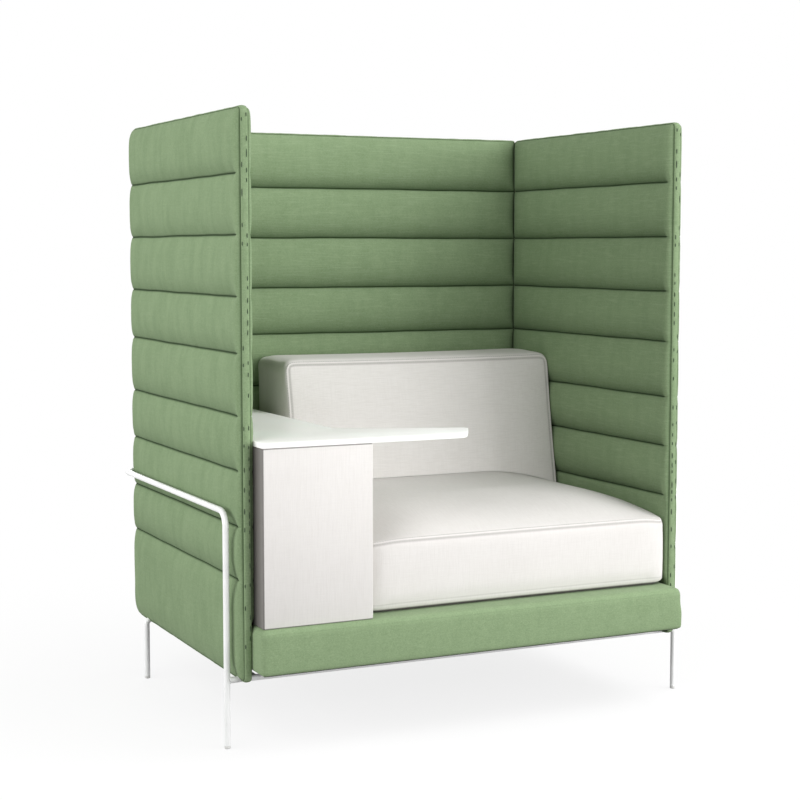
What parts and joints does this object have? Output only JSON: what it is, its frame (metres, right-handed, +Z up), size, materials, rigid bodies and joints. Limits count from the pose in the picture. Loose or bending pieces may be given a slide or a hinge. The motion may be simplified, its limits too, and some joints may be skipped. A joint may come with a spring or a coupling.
{
  "type": "acoustic high back lounge chair",
  "caption": "High-back lounge chair wrapped in channelled sound-absorbing screens, with an arm block, a worktop with a side tongue and a bent tube frame.",
  "frame": {"origin": "centre of the object's bounding box, at floor level", "axes": "+X to the right seen from the front, +Y to the back, +Z up; the open side faces -Y"},
  "size_m": [1.196, 0.883, 1.4045],
  "materials": {
    "white_steel": "satin white powder coat",
    "zinc_steel": "zinc plated",
    "white_plastic": "moulded, matt",
    "green_felt": "wool felt, melange, sewn in channels",
    "green_band": "wool felt strip, top-stitched",
    "pale_fabric": "slubbed linen weave",
    "white_laminate": "smooth laminate, satin",
    "plywood": "birch plywood, raw",
    "timber": "planed softwood, raw",
    "dark_cloth": "non-woven dust cloth"
  },
  "bodies": {
    "root": {"back_cushion": "pale_fabric", "back_screen_board": "plywood", "back_screen_edge_band": "green_band", "back_screen_inner_pad": "green_felt", "back_screen_outer_pad": "green_felt", "base_cover": "green_felt", "base_deck": "plywood", "base_front_rail": "timber", "base_left_rail": "timber", "base_rear_rail": "timber", "base_right_rail": "timber", "base_under_cloth": "dark_cloth", "block_cover": "pale_fabric", "block_front_board": "plywood", "block_left_board": "plywood", "block_rear_board": "plywood", "block_right_board": "plywood", "front_cross_tube": "white_steel", "left_front_base_bush": "white_steel", "left_front_base_screw": "zinc_steel", "left_front_foot": "white_plastic", "left_front_screen_bolt": "zinc_steel", "left_hoop_tube": "white_steel", "left_lower_corner_screw": "zinc_steel", "left_rail_spigot": "zinc_steel", "left_rail_standoff": "white_steel", "left_rear_base_bush": "white_steel", "left_rear_base_screw": "zinc_steel", "left_rear_foot": "white_plastic", "left_rear_screen_bolt": "zinc_steel", "left_screen_board": "plywood", "left_screen_bottom_band": "green_band", "left_screen_edge_band": "green_band", "left_screen_inner_pad": "green_felt", "left_screen_outer_pad": "green_felt", "left_side_tube": "white_steel", "left_upper_corner_screw": "zinc_steel", "rear_frame_tube": "white_steel", "rear_rail_tube": "white_steel", "right_front_base_bush": "white_steel", "right_front_base_screw": "zinc_steel", "right_front_foot": "white_plastic", "right_front_screen_bolt": "zinc_steel", "right_hoop_tube": "white_steel", "right_lower_corner_screw": "zinc_steel", "right_rail_spigot": "zinc_steel", "right_rail_standoff": "white_steel", "right_rear_base_bush": "white_steel", "right_rear_base_screw": "zinc_steel", "right_rear_foot": "white_plastic", "right_rear_screen_bolt": "zinc_steel", "right_screen_board": "plywood", "right_screen_bottom_band": "green_band", "right_screen_edge_band": "green_band", "right_screen_inner_pad": "green_felt", "right_screen_outer_pad": "green_felt", "right_side_tube": "white_steel", "right_upper_corner_screw": "zinc_steel", "seat_cushion": "pale_fabric", "worktop": "white_laminate"}
  },
  "joints": []
}
